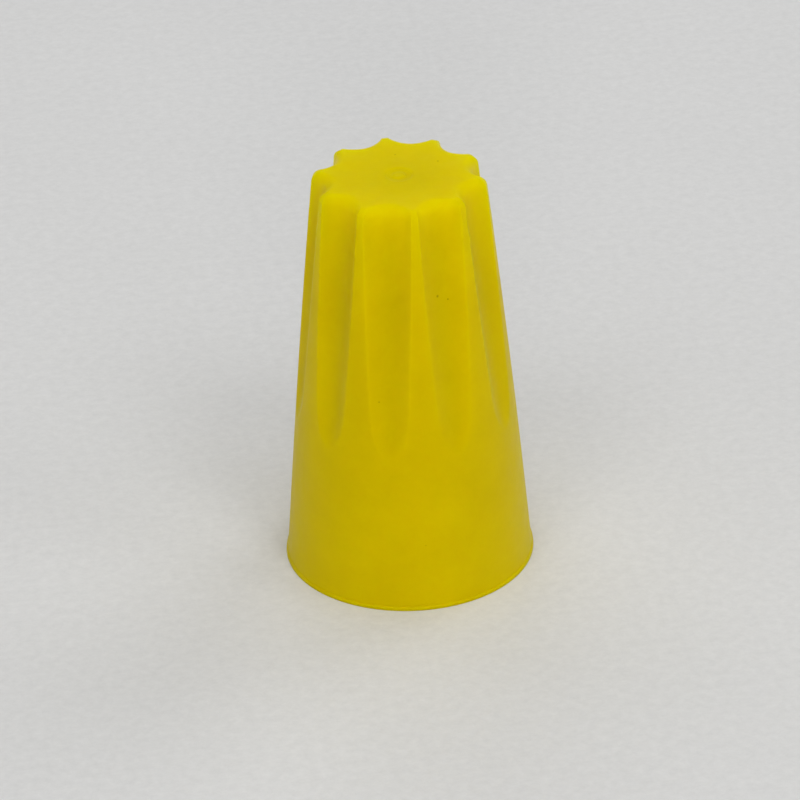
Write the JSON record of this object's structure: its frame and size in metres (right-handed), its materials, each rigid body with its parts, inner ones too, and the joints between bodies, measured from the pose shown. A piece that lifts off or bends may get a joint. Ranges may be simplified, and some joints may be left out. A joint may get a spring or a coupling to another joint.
{
  "type": "twist wire connector",
  "caption": "Tapered fluted plastic cap with a coiled square-wire spring inside; it twists onto stripped conductors to join and insulate them.",
  "frame": {"origin": "centre of the open rim, on the plane that it stands on", "axes": "+Z along the axis from the open rim to the closed end; -Y points at the ridge between two flutes"},
  "size_m": [0.015, 0.015, 0.0254],
  "materials": {
    "shell_plastic": "satin moulded yellow polypropylene, slightly translucent",
    "spring_steel": "drawn square wire, zinc plated"
  },
  "bodies": {
    "root": {"insulating_shell": "shell_plastic", "grip_spring": "spring_steel"}
  },
  "joints": []
}
